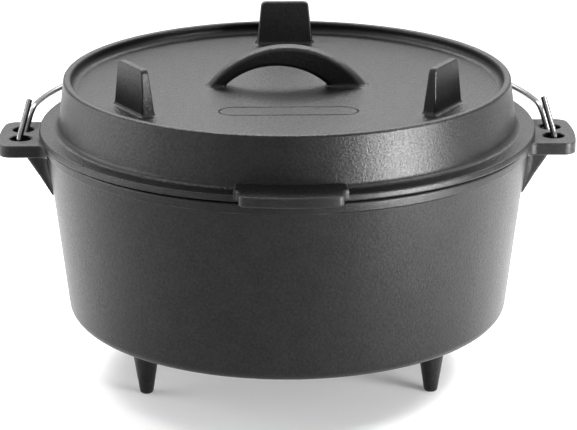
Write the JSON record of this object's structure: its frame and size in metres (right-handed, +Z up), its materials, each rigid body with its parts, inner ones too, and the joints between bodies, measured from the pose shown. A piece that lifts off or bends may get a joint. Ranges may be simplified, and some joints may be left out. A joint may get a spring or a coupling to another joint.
{
  "type": "camp dutch oven",
  "caption": "Cast-iron camp dutch oven on short feet, with a deep flanged lid that stands on its own legs and a swinging wire bail.",
  "frame": {"origin": "on the ground under the pot's axis, at the bottom of the feet", "axes": "+X to the right ear, -Y to the lid's front tab, +Z up"},
  "size_m": [0.3724, 0.3452, 0.2196],
  "materials": {
    "cast_iron": "fine sand-cast grain, seasoned black, satin",
    "wire": "bright drawn wire"
  },
  "bodies": {
    "pot": {"pot": "cast_iron", "left_ear": "cast_iron", "right_ear": "cast_iron", "front_left_foot": "cast_iron", "front_right_foot": "cast_iron", "rear_foot": "cast_iron"},
    "lid": {"lid": "cast_iron", "lid_handle": "cast_iron", "lid_front_tab": "cast_iron", "front_left_lid_leg": "cast_iron", "front_right_lid_leg": "cast_iron", "rear_lid_leg": "cast_iron"},
    "bail": {"bail": "wire"}
  },
  "joints": [
    {"name": "lid_lift", "type": "slide", "parent": "pot", "child": "lid", "axis": [0, 0, 1], "range_m": [0, 0.2]},
    {"name": "bail_swing", "type": "hinge", "parent": "pot", "child": "bail", "pos_m": [0, 0, 0.1551], "axis": [1, 0, 0], "range_deg": [0, 80]}
  ]
}
